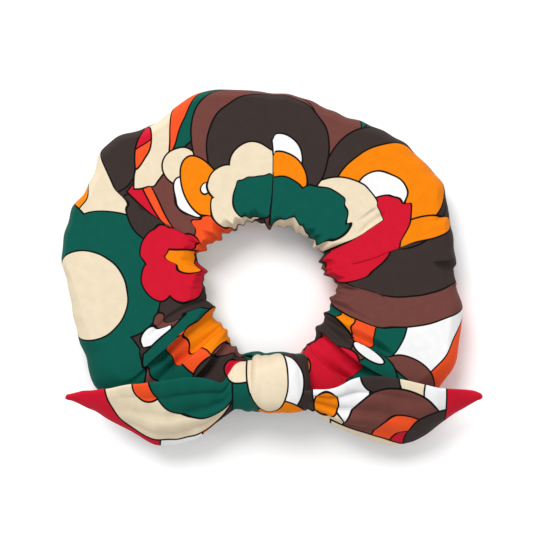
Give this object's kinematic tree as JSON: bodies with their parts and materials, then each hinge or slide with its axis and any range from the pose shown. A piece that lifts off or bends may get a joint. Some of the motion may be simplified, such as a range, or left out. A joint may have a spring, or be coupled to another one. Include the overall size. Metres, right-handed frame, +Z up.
{
  "type": "scrunchie",
  "caption": "Gathered fabric ring over a hidden elastic, with a pointed scarf of the same retro printed cloth tied round it as a bow.",
  "frame": {"origin": "centre of the hair hole, on the surface that the scrunchie lies on", "axes": "+Z up through the hole as it lies flat, +X to the right across both tails of the bow, +Y to the back; the bow is at the front, -Y"},
  "size_m": [0.1198, 0.1021, 0.0235],
  "materials": {
    "printed_fabric": "matt smooth woven polyester, printed with curved shapes in brown, green, cream, red, orange and white",
    "scarf_fabric": "the same printed cloth, folded double",
    "elastic_braid": "white braided elastic, matt",
    "thread": "spun sewing thread, matt dark"
  },
  "bodies": {
    "ring_back": {"cover_upper": "printed_fabric", "elastic_upper": "elastic_braid", "cover_seam_upper": "thread"},
    "ring_front": {"cover_lower": "printed_fabric", "elastic_lower": "elastic_braid", "cover_seam_lower": "thread", "cover_closing_stitches": "thread", "elastic_join_stitches": "thread"},
    "scarf": {"scarf_loop": "scarf_fabric", "scarf_knot": "scarf_fabric"},
    "tail_left": {"scarf_tail_left": "scarf_fabric", "scarf_seam_left": "thread"},
    "tail_right": {"scarf_tail_right": "scarf_fabric", "scarf_seam_right": "thread"}
  },
  "joints": [
    {"name": "stretch", "type": "slide", "parent": "ring_back", "child": "ring_front", "axis": [0, -1, 0], "range_m": [0, 0.06], "stiffness_N_per_m": 70},
    {"name": "scarf_turn", "type": "hinge", "parent": "ring_front", "child": "scarf", "pos_m": [0, -0.0279, 0.01], "axis": [-1, 0, 0], "range_deg": [0, 30]},
    {"name": "left_tail_lift", "type": "hinge", "parent": "scarf", "child": "tail_left", "pos_m": [-0.0129, -0.032, 0.0222], "axis": [0, 1, 0], "range_deg": [0, 75]},
    {"name": "right_tail_lift", "type": "hinge", "parent": "scarf", "child": "tail_right", "pos_m": [0.0129, -0.032, 0.0222], "axis": [0, -1, 0], "range_deg": [0, 75]}
  ]
}
